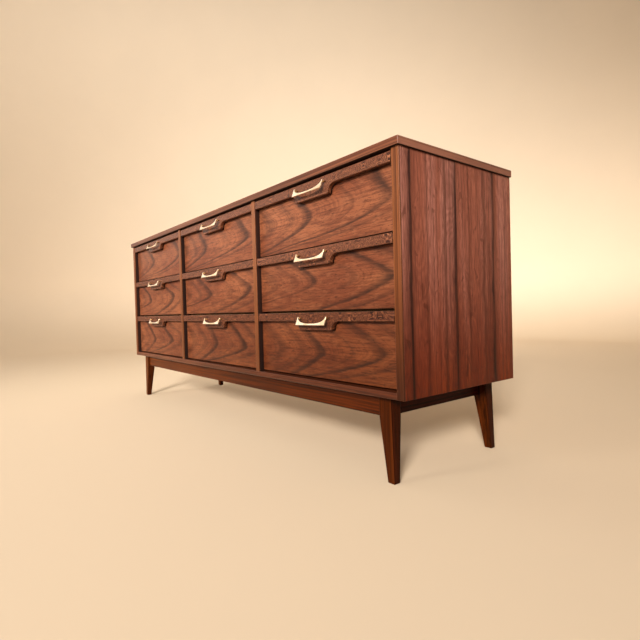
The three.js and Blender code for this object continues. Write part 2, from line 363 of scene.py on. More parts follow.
def figured_walnut():
    nodes = Nodes("figured_walnut_veneer")
    x, z, seed = nodes.split(nodes.attribute("sheet"))
    slow = nodes.math("SUBTRACT", nodes.noise(nodes.stretch((3.0, 3.0, 7.0)), detail=2), 0.5)
    quick = nodes.math("SUBTRACT", nodes.noise(nodes.stretch((16, 16, 40)), detail=3), 0.5)
    inner = arch(nodes, "inner", x, z, slow, quick)
    outer = arch(nodes, "outer", x, z, slow, quick)
    between = nodes.math("DIVIDE", inner, nodes.math("SUBTRACT", inner, outer), clamp=True)
    bands = [
        nodes.math("MULTIPLY", band(nodes, inner, 0.004, 0.046, 0.020), 0.95),
        nodes.math("MULTIPLY", band(nodes, outer, 0.004, 0.052, 0.022), 1.0),
        nodes.math("MULTIPLY", band(nodes, inner, -0.085, 0.040, 0.030), 0.45),
        nodes.math("MULTIPLY", band(nodes, inner, -0.185, 0.055, 0.035), 0.5),
        nodes.math("MULTIPLY", band(nodes, between, 0.58, 0.12, 0.05), 0.35),
        nodes.math("MULTIPLY", band(nodes, outer, 0.105, 0.050, 0.030), 0.6),
    ]
    smoke = bands[0]
    for other in bands[1:]:
        smoke = nodes.math("MAXIMUM", smoke, other)
    patchy = nodes.span(nodes.noise(nodes.stretch((8, 8, 16), (4, 2, 1)), detail=3), 0.28, 0.58,
                        0.62, 1.0)
    torn = nodes.span(nodes.noise(nodes.stretch(along("X", 14, 330), (0, 5, 0)), detail=3),
                      0.32, 0.60, 0.70, 1.0)
    smoke = nodes.math("MULTIPLY", nodes.math("MULTIPLY", smoke, patchy), torn)

    growth = nodes.math("ADD", nodes.math("MINIMUM", inner, 0.0), nodes.math("MAXIMUM", outer, 0.0))
    growth = nodes.math("MULTIPLY_ADD", between, 0.28, growth)
    ring_place = nodes.add("ShaderNodeCombineXYZ", {0: nodes.math("MULTIPLY", growth, 120),
                                                    1: nodes.math("MULTIPLY", z, 9),
                                                    2: seed}).outputs[0]
    rings = nodes.noise(ring_place, detail=4, roughness=0.62)
    lines = nodes.noise(nodes.stretch(along("X", 13, 260), seed_shift(nodes, seed)), detail=4,
                        roughness=0.7)
    flecks = nodes.noise(nodes.stretch(along("X", 60, 420), (2, 0, 6)), detail=2, distortion=0.5)
    curl = nodes.noise(nodes.stretch((22, 20, 46), (0, 0, 3)), detail=3, distortion=0.9)
    cloud = nodes.noise(nodes.stretch((3.6, 3.6, 8.0), (8, 1, 0)), detail=3)
    hole = pores(nodes, "X", 0.4)

    colour = nodes.mix(nodes.span(cloud, 0.33, 0.68), linear("#6d3a24"), linear("#854f33"))
    colour = nodes.mix(nodes.span(rings, 0.34, 0.58, 0.42, 0.0), colour, linear("#4f2716"))
    colour = nodes.mix(nodes.span(lines, 0.36, 0.58, 0.64, 0.0), colour, linear("#431e10"))
    colour = nodes.mix(nodes.span(curl, 0.50, 0.70, 0.0, 0.22), colour, linear("#955f42"))
    colour = nodes.mix(nodes.math("MULTIPLY", smoke, 0.90), colour, linear("#26140d"))
    colour = nodes.mix(nodes.span(flecks, 0.58, 0.68, 0.0, 0.65), colour, linear("#30160b"))
    colour = nodes.mix(nodes.math("MULTIPLY", hole, 0.6), colour, linear("#2a1206"))
    edge = nodes.arris_mask()
    colour = nodes.mix(nodes.math("MULTIPLY", edge, 0.35), colour, linear("#4e2a18"))
    rough = nodes.span(nodes.math("MULTIPLY_ADD", hole, 0.5, lines), 0.3, 1.1, 0.38, 0.56)
    height = nodes.math("SUBTRACT", nodes.math("MULTIPLY", lines, 0.35), hole)
    # The tint passed below is painted shade towards the floor.
    return nodes.finish(nodes.painted_shade_gradient(colour, (0.47, 0.34, 0.18)), rough, height, bump=0.22, coat=0.03,
                        coat_roughness=0.25, specular=0.2)


def seed_shift(nodes, seed):
    """A shift that differs from one sheet of veneer to the next."""
    return nodes.add("ShaderNodeCombineXYZ", {0: seed, 1: seed, 2: seed}).outputs[0]


def cross_figured_walnut():
    """Veneer on the pull rails: short slanting flames with a mottled, almost curly look."""
    nodes = Nodes("cross_figured_walnut")
    lean = nodes.math("SUBTRACT", nodes.noise(nodes.stretch((9, 9, 4)), detail=1), 0.5)
    x, y, z = nodes.split(nodes.coordinates)
    slant = nodes.math("MULTIPLY_ADD", nodes.math("MULTIPLY", lean, z), 3.2, x)
    place = nodes.add("ShaderNodeCombineXYZ", {0: slant, 1: y, 2: z}).outputs[0]
    flame = nodes.noise(nodes.stretch((260, 60, 60), source=place), detail=3, roughness=0.62,
                        distortion=0.8)
    fleck = nodes.noise(nodes.stretch((430, 200, 150), (3, 0, 1), source=place), detail=2)
    cloud = nodes.noise(nodes.stretch((11, 11, 20), (2, 0, 5)), detail=3)
    colour = nodes.mix(nodes.span(flame, 0.36, 0.60), linear("#200a05"), linear("#4c2418"))
    colour = nodes.mix(nodes.span(cloud, 0.35, 0.66, 0.0, 0.5), colour, linear("#4b2215"))
    colour = nodes.mix(nodes.span(fleck, 0.50, 0.60, 0.0, 0.9), colour, linear("#8e5a3e"))
    colour = nodes.mix(nodes.span(fleck, 0.47, 0.40, 0.0, 1.0), colour, linear("#160703"))
    # Painted highlight: the rail's arrises are mixed towards a pale colour, for the light caught by
    # its top edge.
    edge = nodes.arris_mask(1.6 * MM)
    colour = nodes.mix(nodes.math("MULTIPLY", edge, 0.45), colour, linear("#a07460"))
    rough = nodes.span(flame, 0.3, 0.7, 0.32, 0.46)
    height = nodes.math("MULTIPLY_ADD", flame, 0.5, fleck)
    # The tint passed below is painted shade towards the floor.
    return nodes.finish(nodes.painted_shade_gradient(colour, (0.44, 0.31, 0.22)), rough, height, bump=0.12, coat=0.05,
                        coat_roughness=0.2, specular=0.22)


# The side veneer: width of one sheet, and where a sheet starts behind the front.
SHEET_WIDTH = 0.168
SHEET_START = 0.519


def flitch_walnut():
    """Side panels: sheets of one flitch laid side by side, each darkening to its rear edge."""
    nodes = Nodes("flitch_matched_walnut")
    y = nodes.split(nodes.coordinates)[1]
    wander = nodes.math("SUBTRACT", nodes.noise(nodes.stretch((1.5, 1.5, 6.5), (0, 7, 0)),
                                                detail=2), 0.5)
    depth = nodes.math("MULTIPLY_ADD", wander, 0.016, y)
    place = nodes.math("FRACT", nodes.math("DIVIDE", nodes.math("ADD", depth, SHEET_START),
                                            SHEET_WIDTH))
    waver = nodes.math("SUBTRACT", nodes.noise(nodes.stretch((3, 9, 14), (0, 0, 2)), detail=3), 0.5)
    soft = nodes.math("MULTIPLY_ADD", waver, 0.10, place)
    torn = nodes.noise(nodes.stretch(along("Z", 3.5, 130), (1, 0, 0)), detail=3)
    veil = nodes.math("MULTIPLY", nodes.span(soft, 0.74, 0.975), 0.50)
    core = nodes.math("MULTIPLY", nodes.span(soft, 0.93, 0.975), 0.55)
    streak = nodes.math("MULTIPLY", nodes.math("ADD", veil, core),
                        nodes.span(torn, 0.3, 0.6, 0.55, 1.0))
    after = nodes.math("MULTIPLY", nodes.span(place, 0.09, 0.0), 0.55)
    second = nodes.math("MULTIPLY", nodes.span(soft, 0.66, 0.71), nodes.span(soft, 0.80, 0.73))
    third = nodes.math("MULTIPLY", nodes.span(soft, 0.28, 0.31), nodes.span(soft, 0.36, 0.325))
    seam = nodes.math("MULTIPLY", nodes.span(place, 0.975, 0.993), 0.7)
    swirl = nodes.noise(nodes.stretch((20, 14, 3.2), (0, 2, 0)), detail=2, distortion=0.5)
    ringed = nodes.math("MULTIPLY_ADD", nodes.math("SINE", nodes.math("MULTIPLY", swirl, 150.0)),
                        0.5, 0.5)
    lines = grain_lines(nodes, "Z", 210, 3.0, 0.9)
    dashes = nodes.noise(nodes.stretch(along("Z", 26, 480), (4, 1, 0)), detail=3, roughness=0.65)
    wide = nodes.noise(nodes.stretch(along("Z", 0.9, 20), (3, 0, 1)), detail=3)
    eyes = nodes.noise(nodes.stretch((30, 48, 22), (0, 2, 0)), detail=2, distortion=0.8)
    hole = pores(nodes, "Z", 1.3)
    colour = nodes.mix(nodes.span(wide, 0.36, 0.66), linear("#874f3e"), linear("#a26d60"))
    colour = nodes.mix(nodes.span(lines, 0.34, 0.56, 0.60, 0.0), colour, linear("#4a2119"))
    colour = nodes.mix(nodes.math("MULTIPLY", ringed, 0.30), colour, linear("#50241b"))
    colour = nodes.mix(nodes.span(dashes, 0.38, 0.60, 0.55, 0.0), colour, linear("#46201a"))
    colour = nodes.mix(nodes.span(eyes, 0.64, 0.72, 0.0, 0.5), colour, linear("#401b10"))
    colour = nodes.mix(nodes.math("MULTIPLY", third, 0.4), colour, linear("#3c1a11"))
    colour = nodes.mix(nodes.math("MULTIPLY", second, 0.6), colour, linear("#3c1b12"))
    colour = nodes.mix(after, colour, linear("#4d2417"))
    colour = nodes.mix(nodes.math("MULTIPLY", streak, 0.92), colour, linear("#240f10"))
    colour = nodes.mix(seam, colour, linear("#1c0a07"))
    colour = nodes.mix(nodes.math("MULTIPLY", hole, 0.55), colour, linear("#301209"))
    edge = nodes.arris_mask()
    colour = nodes.mix(nodes.math("MULTIPLY", edge, 0.4), colour, linear("#4a281c"))
    rough = nodes.span(lines, 0.3, 0.7, 0.34, 0.48)
    height = nodes.math("SUBTRACT", nodes.math("MULTIPLY", lines, 0.4), hole)
    # The tint passed below is painted shade towards the floor.
    return nodes.finish(nodes.painted_shade_gradient(colour, (0.40, 0.12, 0.0)), rough, height, bump=0.2, coat=0.03,
                        coat_roughness=0.25, specular=0.2)


def cast_brass(name, bright, dull, polish):
    """Cast brass: a warm metal with a soft mottled tarnish; polish is its roughness span."""
    nodes = Nodes(name)
    patch = nodes.noise(nodes.stretch((45, 45, 45)), detail=3, roughness=0.5)
    colour = nodes.mix(nodes.span(patch, 0.40, 0.72), linear(bright), linear(dull))
    edge = nodes.arris_mask(1.0 * MM)
    colour = nodes.mix(nodes.math("MULTIPLY", edge, 0.3), colour, linear(bright))
    rough = nodes.span(patch, 0.3, 0.75, *polish)
    return nodes.finish(colour, rough, patch, bump=0.04, distance=0.1 * MM, coat=0.0,
                        metallic=1.0)


def plywood():
    """The back: rotary-cut plywood with broad wild figure, raw and a little dusty."""
    nodes = Nodes("raw_plywood")
    figure = nodes.noise(nodes.stretch((2.2, 3, 9.0), (2, 0, 0)), detail=3, distortion=1.4)
    rings = nodes.math("MULTIPLY_ADD", nodes.math("SINE", nodes.math("MULTIPLY", figure, 120.0)),
                       0.5, 0.5)
    lines = nodes.noise(nodes.stretch(along("X", 6, 420)), detail=3)
    dust = nodes.noise(nodes.stretch((4, 4, 4), (1, 1, 1)), detail=4)
    colour = nodes.mix(nodes.span(rings, 0.2, 0.9, 0.0, 0.55), linear("#a98258"), linear("#8a6340"))
    colour = nodes.mix(nodes.span(lines, 0.5, 0.72, 0.0, 0.4), colour, linear("#6f4d31"))
    colour = nodes.mix(nodes.span(dust, 0.45, 0.75, 0.0, 0.35), colour, linear("#b79c7c"))
    rough = nodes.span(lines, 0.3, 0.7, 0.62, 0.8)
    return nodes.finish(colour, rough, nodes.math("ADD", lines, rings), bump=0.15, coat=0.0,
                        specular=0.3)


FIGURED = figured_walnut()
CROSS_FIGURED = cross_figured_walnut()
FLITCH = flitch_walnut()
BRASS = cast_brass("cast_brass", "#ffecd2", "#f2d6ac", (0.20, 0.32))
# Darker brass: on the pull posts it is painted shade, for the shade the pulls cast on them; the back
# nails are of it too.
POST_BRASS = cast_brass("dark_brass", "#8f6a42", "#5e4227", (0.38, 0.55))
PLYWOOD = plywood()
EDGE_UPRIGHT = straight_wood("solid_walnut_upright", "#7c4726", "#69371a", "#47220d", "Z",
                             across=260, streaks=0.5, arris_wear_and_highlight=0.3, arris_wear_and_highlight_colour="#82543a", coat=0.08,
                             low=(0.20, 0.125, 0.05), specular=0.18)
# The level and deep edges: their pale arrises are partly wear and partly a painted highlight along
# the top's and the fronts' edges.
EDGE_LEVEL = straight_wood("solid_walnut_level", "#78472e", "#633522", "#401e10", "X",
                           across=220, streaks=0.4, shift=2.3, arris_wear_and_highlight=0.6, arris_wear_and_highlight_colour="#a7826c", coat=0.03,
                           low=(0.36, 0.22, 0.12), specular=0.22)
EDGE_DEEP = straight_wood("solid_walnut_deep", "#825746", "#6c4236", "#47261a", "Y",
                          across=220, streaks=0.4, shift=5.1, arris_wear_and_highlight=0.6, arris_wear_and_highlight_colour="#a7826c", coat=0.03)
# The bottom rail's strong pale arris is a painted highlight along its top edge.
BOTTOM_EDGE = straight_wood("bottom_rail_walnut", "#78472e", "#633522", "#401e10", "X",
                            across=220, streaks=0.4, shift=3.3, arris_wear_and_highlight=1.0, arris_wear_and_highlight_colour="#c8a48c",
                            coat=0.05, low=(0.40, 0.25, 0.15), specular=0.25)
DIVIDER_EDGE = straight_wood("divider_lipping", "#8a5430", "#764322", "#502912", "Z",
                             across=260, streaks=0.5, shift=1.9, arris_wear_and_highlight=0.3, arris_wear_and_highlight_colour="#a06c4e",
                             coat=0.05, low=(0.45, 0.36, 0.26))
TOP_VENEER = straight_wood("top_walnut_veneer", "#6f3b25", "#552818", "#3d1a0e", "X", across=90,
                           length=0.7, streaks=0.7, shift=4.1, roughness=(0.28, 0.42))
# Painted shade: a near-black walnut laid where shade falls, on the top's underside, the inner faces
# of the sides, the dividers and the back strip of the rails.
PAINTED_SHADE_WALNUT = straight_wood("painted_shade_walnut", "#2d130a", "#210d06", "#140703", "Z", across=120,
                      shift=6.2, coat=0.0, roughness=(0.55, 0.7))
# The base is painted dark as shade under the case, making up for the light the pale floor throws up;
# the deep copy on the side aprons is darker still as painted shade, and the flank copy is painted
# shade on the legs' sides.
DARK_LEVEL = straight_wood("base_walnut_level", "#703408", "#542403", "#331401", "X",
                           across=150, shift=7.7, arris_wear_and_highlight=0.35, arris_wear_and_highlight_colour="#8a4818", coat=0.0,
                           specular=0.1)
DARK_DEEP = straight_wood("base_walnut_deep", "#561c04", "#3f1202", "#260801", "Y",
                          across=150, shift=3.9, arris_wear_and_highlight=0.35, arris_wear_and_highlight_colour="#6a3010", coat=0.0,
                          specular=0.06)
DARK_UPRIGHT = straight_wood("base_walnut_upright", "#6e3810", "#522609", "#341602", "Z",
                             across=180, shift=9.4, arris_wear_and_highlight=0.4, arris_wear_and_highlight_colour="#7e4816", coat=0.0,
                             specular=0.05)
PAINTED_SHADE_FLANK = straight_wood("base_walnut_flank_painted_shade", "#52240b", "#3a1606", "#220b02", "Z",
                           across=180, shift=0.7, arris_wear_and_highlight=0.4, arris_wear_and_highlight_colour="#60300e", coat=0.0,
                           specular=0.05)
BOARD_DEEP = straight_wood("secondary_wood_deep", "#a6835a", "#96724b", "#805f3b", "Y",
                           across=120, shift=1.2, coat=0.0, roughness=(0.5, 0.68), arris_wear_and_highlight=0.15,
                           low=(0.8, 0.75, 0.7))
BOARD_LEVEL = straight_wood("secondary_wood_level", "#a17c53", "#906c45", "#785634", "X",
                            across=110, shift=8.8, coat=0.0, roughness=(0.5, 0.68), arris_wear_and_highlight=0.15,
                           low=(0.8, 0.75, 0.7))


# ---- case -----------------------------------------------------------------------------------

LIPPING = 4 * MM
GLUE_LINE = 0.15 * MM
NEAR = 0.1 * MM
ARRIS = 1.0 * MM


def top_panel():
    """The top board: veneered above, edge bands all round, painted shade below."""
    def choose(normal):
        # The underside gets the painted shade walnut.
        if normal.z < -0.5:
            return 3
        return 1 if abs(normal.y) > 0.5 else 2 if abs(normal.x) > 0.5 else 0
    from_cad("case_top", "top_panel", [TOP_VENEER, EDGE_LEVEL, EDGE_DEEP, PAINTED_SHADE_WALNUT],
             radius=1.4 * MM, choose=choose)


def lipping(node, name, material):
    """A solid strip of wood glued over the front edge of an upright panel."""
    low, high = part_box(node)
    bm = bmesh.new()
    add_block(bm, low, (high.x, low.y + LIPPING, high.z))
    soften(new_object(name, bm, [material], "case"), ARRIS)


def behind_lipping(bm, node):
    """Cuts a panel back to leave room for its lipping, with a hair of glue line between them."""
    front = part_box(node)[0].y
    for vert in bm.verts:
        if vert.co.y < front + NEAR:
            vert.co.y = front + LIPPING + GLUE_LINE


def upright_panel(node, outer_hand):
    """A side panel or a divider: veneered board behind a solid lipping, with painted shade on every
    face but the outer face and the rear.
    """
    bm = cad_copy(node)
    behind_lipping(bm, node)
    bm.normal_update()
    for face in bm.faces:
        # Faces other than the outer face and the rear get painted shade; a divider has no outer face.
        rear = face.normal.y > 0.5
        face.material_index = 2 if rear else 0 if outer_hand * face.normal.x > 0.5 else 1
    piece = new_object(f"{node}_board", bm, [FLITCH, PAINTED_SHADE_WALNUT, EDGE_UPRIGHT], "case")
    soften(piece, 0.5 * MM)
    lipping(node, f"{node}_lipping", EDGE_UPRIGHT if outer_hand else DIVIDER_EDGE)
    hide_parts(node)


def build_case():
    """The case: panels, rails, back and dust boards."""
    top_panel()
    upright_panel("side_left", -1)
    upright_panel("side_right", 1)
    upright_panel("divider_left", 0)
    upright_panel("divider_right", 0)
    from_cad("case_bottom_rail", "bottom_rail", [BOTTOM_EDGE], 1.8 * MM)
    from_cad("case_bottom_board", "bottom_panel", [BOARD_LEVEL], ARRIS)
    from_cad("case_tie_rail", "top_front_rail", [BOARD_LEVEL], ARRIS)
    from_cad("case_back", "back_panel", [PLYWOOD], 0.4 * MM)
    back_nails()
    for column in COLUMNS:
        for row in ROWS[:2]:
            from_cad(f"dust_panel_{column}_{row}", f"dust_board_{column}_{row}",
                     [BOARD_LEVEL], ARRIS)


def back_nails():
    """Domed nails that hold the plywood back in its rabbet."""
    low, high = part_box("back_panel")
    head, rise, margin, sides = 3.2 * MM, 1.1 * MM, 7 * MM, 16
    across, up = 12, 4
    spots = [(low.x + margin + (high.x - low.x - 2 * margin) * i / across, z)
             for i in range(across + 1) for z in (low.z + margin, high.z - margin)]
    spots += [(x, low.z + margin + (high.z - low.z - 2 * margin) * i / up)
              for i in range(1, up) for x in (low.x + margin, high.x - margin)]
    bm = bmesh.new()
    for x, z in spots:
        rings = []
        for radius, depth in ((head, -0.3 * MM), (head, 0.2 * MM), (head * 0.72, rise * 0.8),
                              (head * 0.34, rise)):
            rings.append([bm.verts.new((x + radius * math.cos(math.tau * i / sides),
                                        high.y + depth,
                                        z + radius * math.sin(math.tau * i / sides)))
                          for i in range(sides)])
        for first, second in zip(rings, rings[1:]):
            for i in range(sides):
                j = (i + 1) % sides
                bm.faces.new((first[i], first[j], second[j], second[i]))
        bm.faces.new(rings[0][::-1])
        bm.faces.new(rings[-1])
    new_object("back_nails", bm, [POST_BRASS], "case")


def build_base():
    """Four tapered legs and the aprons between them."""
    for side in ("front", "back"):
        for hand in ("left", "right"):
            # Faces turned left or right, the legs' sides, get the painted shade copy.
            from_cad(f"tapered_leg_{side}_{hand}", f"leg_{side}_{hand}",
                     [DARK_UPRIGHT, PAINTED_SHADE_FLANK], 2.0 * MM, segments=3,
                     choose=lambda normal: 1 if abs(normal.x) > 0.7 else 0)
    for node, material in (("apron_front", DARK_LEVEL), ("apron_back", DARK_LEVEL),
                           ("apron_left", DARK_DEEP), ("apron_right", DARK_DEEP)):
        from_cad(f"base_{node}", node, [material], 1.2 * MM)


# ---- drawers --------------------------------------------------------------------------------

def set_vector(mesh, name, values):
    """Writes one vector per vertex of a mesh."""
    layer = mesh.attributes.new(name, "FLOAT_VECTOR", "POINT")
    layer.data.foreach_set("vector", [number for value in values for number in value])


def drawer_front(place, rng):
    """A veneered front, with the arches of its sheet written to the mesh for the material."""
    node = f"drawer_front_{place}"
    low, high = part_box(node)
    column, row = place.split("_")
    bm = bmesh.new()
    outline = [(low.x, low.z), (high.x, low.z), (high.x, high.z), (low.x, high.z)]
    add_rings(bm, outline, round_rings(high.y, low.y, 1.1 * MM), lambda a, u, d: (a, d, u))
    bm.normal_update()
    for face in bm.faces:
        flat = face.normal.y < -0.9 or face.normal.y > 0.9
        face.material_index = 0 if flat else 1 if abs(face.normal.z) > abs(face.normal.x) else 2
    piece = new_object(f"veneered_front_{place}", bm, [FIGURED, EDGE_LEVEL, EDGE_UPRIGHT],
                       f"drawer_{place}")
    mesh = piece.data
    seed = rng.uniform(0, 9)
    slide = rng.uniform(-0.006, 0.006) - SLIDES[column][ROWS.index(row)]
    set_vector(mesh, "sheet", [(v.co.x - low.x + slide, v.co.z - low.z, seed)
                               for v in mesh.vertices])
    for which, (crown_x, crown_z, run_up, run_down, bend) in zip(("inner", "outer"), ARCHES[row]):
        set_vector(mesh, f"{which}_crown", [(crown_x, crown_z, bend)] * len(mesh.vertices))
        set_vector(mesh, f"{which}_runs", [(run_up, run_down, 0)] * len(mesh.vertices))
    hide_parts(node)
    flatten_shading(piece)


RAIL_END = 23.5 * MM
RAIL_DROP_HALF = 70 * MM
RAIL_SHOULDER = 28 * MM
SHADED_DEPTH = 5 * MM


def pull_rail(place):
    """The shaped rail along a front's top edge, with painted shade on the strip where it meets the
    front.
    """
    node = f"pull_rail_{place}"
    low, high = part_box(node)
    middle = (low.x + high.x) / 2
    shoulder = RAIL_DROP_HALF + RAIL_SHOULDER
    end = high.z - RAIL_END
    drop = end - low.z
    right = arc_points((middle + shoulder, low.z), (RAIL_SHOULDER, drop), 180, 90, 10)
    left = [(2 * middle - x, z) for x, z in right[::-1]]
    outline = ([(low.x, end)] + left + right
               + [(high.x, end), (high.x, high.z), (low.x, high.z)])
    bm = bmesh.new()
    rings = [(0, high.y), (0, high.y - SHADED_DEPTH)] + round_rings(high.y, low.y, 1.3 * MM)[1:]
    add_rings(bm, outline, rings, lambda a, u, d: (a, d, u))
    # Painted shade: the back SHADED_DEPTH of the rail, where it meets the front, gets the near-black
    # walnut.
    for face in bm.faces:
        face.material_index = 1 if face.calc_center_median().y > high.y - SHADED_DEPTH else 0
    piece = new_object(f"shaped_rail_{place}", bm, [CROSS_FIGURED, PAINTED_SHADE_WALNUT], f"drawer_{place}")
    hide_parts(node)
    flatten_shading(piece)


PULL_HEIGHT = 23.5 * MM
PULL_MIDDLE = 4.5 * MM
PULL_TIP = 4 * MM
PULL_THICKNESS = 3 * MM
PULL_STAND_OFF = 18.5 * MM
PULL_LEAN = math.radians(21)
PULL_POWER = 2.4
POST_RADIUS = 2.3 * MM
POST_BELOW_TIP = 3.6 * MM
POST_SIDES = 24
PULL_STEPS = 40


def brass_pull(place):
    """A leaning cast pull with a hollow top edge, on two round posts."""
    node = f"brass_pull_{place}"
    low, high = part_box(node)
    middle = (low.x + high.x) / 2
    half = (high.x - low.x) / 2
    rail_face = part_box(f"pull_rail_{place}")[0].y
    curve = []
    for i in range(PULL_STEPS + 1):
        angle = math.pi * i / PULL_STEPS
        side = math.copysign(1, math.cos(angle))
        curve.append((side * (half - PULL_TIP) * abs(math.cos(angle)) ** (2 / PULL_POWER),
                      PULL_HEIGHT - (PULL_HEIGHT - PULL_MIDDLE)
                      * abs(math.sin(angle)) ** (2 / PULL_POWER)))
    outline = [(-half, 0), (half, 0), (half, PULL_HEIGHT)] + curve + [(-half, PULL_HEIGHT)]
    sin, cos = math.sin(PULL_LEAN), math.cos(PULL_LEAN)

    def lean(across, up, depth):
        return (middle + across, rail_face - PULL_STAND_OFF + up * sin + depth * cos,
                low.z + up * cos - depth * sin + PULL_THICKNESS * sin)
    bm = bmesh.new()
    add_rings(bm, outline, round_rings(PULL_THICKNESS, 0, 0.35 * MM, both=True, steps=2), lean)
    post_up = PULL_HEIGHT - POST_BELOW_TIP
    for hand in (-1, 1):
        axis_x = middle + hand * (half - POST_RADIUS - 0.1 * MM)
        axis_z = low.z + post_up * cos
        start = rail_face - PULL_STAND_OFF + post_up * sin + 1.5 * MM
        profile = [(start, POST_RADIUS), (rail_face - 1.6 * MM, POST_RADIUS),
                   (rail_face - 1.2 * MM, POST_RADIUS), (rail_face, POST_RADIUS)]
        rings = []
        for y, radius in profile:
            rings.append([bm.verts.new((axis_x + radius * math.cos(math.tau * i / POST_SIDES), y,
                                        axis_z + radius * math.sin(math.tau * i / POST_SIDES)))
                          for i in range(POST_SIDES)])
        # The posts take the darker brass as painted shade.
        for first, second in zip(rings, rings[1:]):
            for i in range(POST_SIDES):
                j = (i + 1) % POST_SIDES
                bm.faces.new((first[i], first[j], second[j], second[i])).material_index = 1
        bm.faces.new(rings[0][::-1]).material_index = 1
        bm.faces.new(rings[-1]).material_index = 1
    piece = new_object(f"cast_pull_{place}", bm, [BRASS, POST_BRASS], f"drawer_{place}")
    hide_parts(node)
    flatten_shading(piece)


BOX_WALL = 12 * MM
TAIL_DEPTH = 9 * MM
BACK_DROP = 4 * MM
END_GAP = 0.2 * MM
JOINT_GAP = 0.1 * MM
WALL_RAISE = 1 * MM
TAIL_LOW, TAIL_HIGH = 0.22, 0.78
BOTTOM_RAISE = 9 * MM
BOTTOM_BOARD = 5 * MM
GROOVE = 4 * MM
TAIL_FLARE = 1.6 * MM
TAILS = 4


def comb(low, high, count):
    """Levels of the tails of a dovetail joint, narrow at their root: (bottom, top) pairs."""
    pitch = (high - low) / count
    return [(low + pitch * (i + TAIL_LOW), low + pitch * (i + TAIL_HIGH)) for i in range(count)]


def box_side(place, hand, low, high, body):
    """A side board with half-blind tails at the front and through tails at the back."""
    x0 = low.x if hand == "left" else high.x - BOX_WALL
    front_root, back_root = low.y + BOX_WALL, high.y - BOX_WALL
    front_tip, back_tip = low.y + BOX_WALL - TAIL_DEPTH, high.y - END_GAP
    ends = []
    for root, tip, tails in ((front_root, front_tip, comb(low.z, high.z, TAILS)),
                             (back_root, back_tip, comb(low.z, high.z - BACK_DROP, TAILS))):
        levels = [low.z] + [level for pair in tails for level in pair] + [high.z]
        flared = [level for bottom, top in tails for level in (bottom - TAIL_FLARE,
                                                               top + TAIL_FLARE)]
        ends.append((root, levels, tip, flared))
    bm = bmesh.new()
    loops = []
    for x in (x0, x0 + BOX_WALL):
        (front, front_tips), (back, back_tips) = [
            ([bm.verts.new((x, root, z)) for z in levels],
             [bm.verts.new((x, tip, z)) for z in flared]) for root, levels, tip, flared in ends]
        for i in range(len(front) - 1):
            bm.faces.new((front[i], back[i], back[i + 1], front[i + 1]))
        outline = [front[-1]]
        for i in reversed(range(0, 2 * TAILS, 2)):
            outline += [front[i + 2], front_tips[i + 1], front_tips[i], front[i + 1]]
        outline += [front[0], back[0]]
        for i in range(0, 2 * TAILS, 2):
            outline += [back[i + 1], back_tips[i], back_tips[i + 1], back[i + 2]]
            bm.faces.new((front[i + 1], front[i + 2], front_tips[i + 1], front_tips[i]))
            bm.faces.new((back[i + 1], back[i + 2], back_tips[i + 1], back_tips[i]))
        outline.append(back[-1])
        loops.append(outline)
    count = len(loops[0])
    for i in range(count):
        j = (i + 1) % count
        bm.faces.new((loops[0][i], loops[0][j], loops[1][j], loops[1][i]))
    return new_object(f"box_side_{hand}_{place}", bm, [BOARD_DEEP], body,
                      smooth=False)


def add_pins(bm, x0, root, tip, tails, low, high):
    """Fills the spaces between the tails of one corner with pins."""
    levels = [(low, low)] + tails + [(high, high)]
    for index, ((_, under), (over, _)) in enumerate(zip(levels, levels[1:])):
        lean_under = 0 if index == 0 else TAIL_FLARE
        lean_over = 0 if index == len(tails) else TAIL_FLARE
        profile = [(root, under + JOINT_GAP), (tip, under + lean_under + JOINT_GAP),
                   (tip, over - lean_over - JOINT_GAP), (root, over - JOINT_GAP)]
        rings = [[bm.verts.new((x, y, z)) for y, z in profile] for x in (x0, x0 + BOX_WALL)]
        for i in range(4):
            j = (i + 1) % 4
            bm.faces.new((rings[0][i], rings[0][j], rings[1][j], rings[1][i]))
        bm.faces.new(rings[0])
        bm.faces.new(rings[1][::-1])


def drawer_box(place):
    """Dovetailed sides, front and back round a thin bottom held in grooves."""
    node = f"drawer_box_{place}"
    low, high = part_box(node)
    body = f"drawer_{place}"
    inner_low, inner_high = low.x + BOX_WALL + JOINT_GAP, high.x - BOX_WALL - JOINT_GAP
    shown = [box_side(place, hand, low, high, body) for hand in ("left", "right")]
    for name, root, tip, top in (
            ("front", low.y + BOX_WALL, low.y + BOX_WALL - TAIL_DEPTH, high.z),
            ("back", high.y - BOX_WALL, high.y - END_GAP, high.z - BACK_DROP)):
        bm = bmesh.new()
        near, far = sorted((root, low.y if name == "front" else high.y - END_GAP))
        add_block(bm, (inner_low, near, low.z + WALL_RAISE), (inner_high, far, top))
        if name == "front":
            for x0 in (low.x, high.x - BOX_WALL):
                add_block(bm, (x0, low.y, low.z), (x0 + BOX_WALL, tip - JOINT_GAP, top))
        for x0 in (low.x, high.x - BOX_WALL):
            add_pins(bm, x0, root, tip, comb(low.z, top, TAILS), low.z, top)
        shown.append(new_object(f"box_{name}_{place}", bm, [BOARD_LEVEL], body,
                                smooth=False))
    bm = bmesh.new()
    floor = low.z + BOTTOM_RAISE
    add_block(bm, (low.x + BOX_WALL - GROOVE, low.y + BOX_WALL - GROOVE, floor),
              (high.x - BOX_WALL + GROOVE, high.y - BOX_WALL + GROOVE, floor + BOTTOM_BOARD))
    shown.append(new_object(f"box_bottom_{place}", bm, [BOARD_LEVEL], body,
                            smooth=False))
    for piece in shown:
        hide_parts(node)


VENEER_SEED = 11


def build_drawers():
    """Nine drawers, each of a front, a shaped rail, a pull and a box."""
    rng = random.Random(VENEER_SEED)
    for place in PLACES:
        drawer_front(place, rng)
        pull_rail(place)
        brass_pull(place)
        drawer_box(place)


# ---- stage ----------------------------------------------------------------------------------

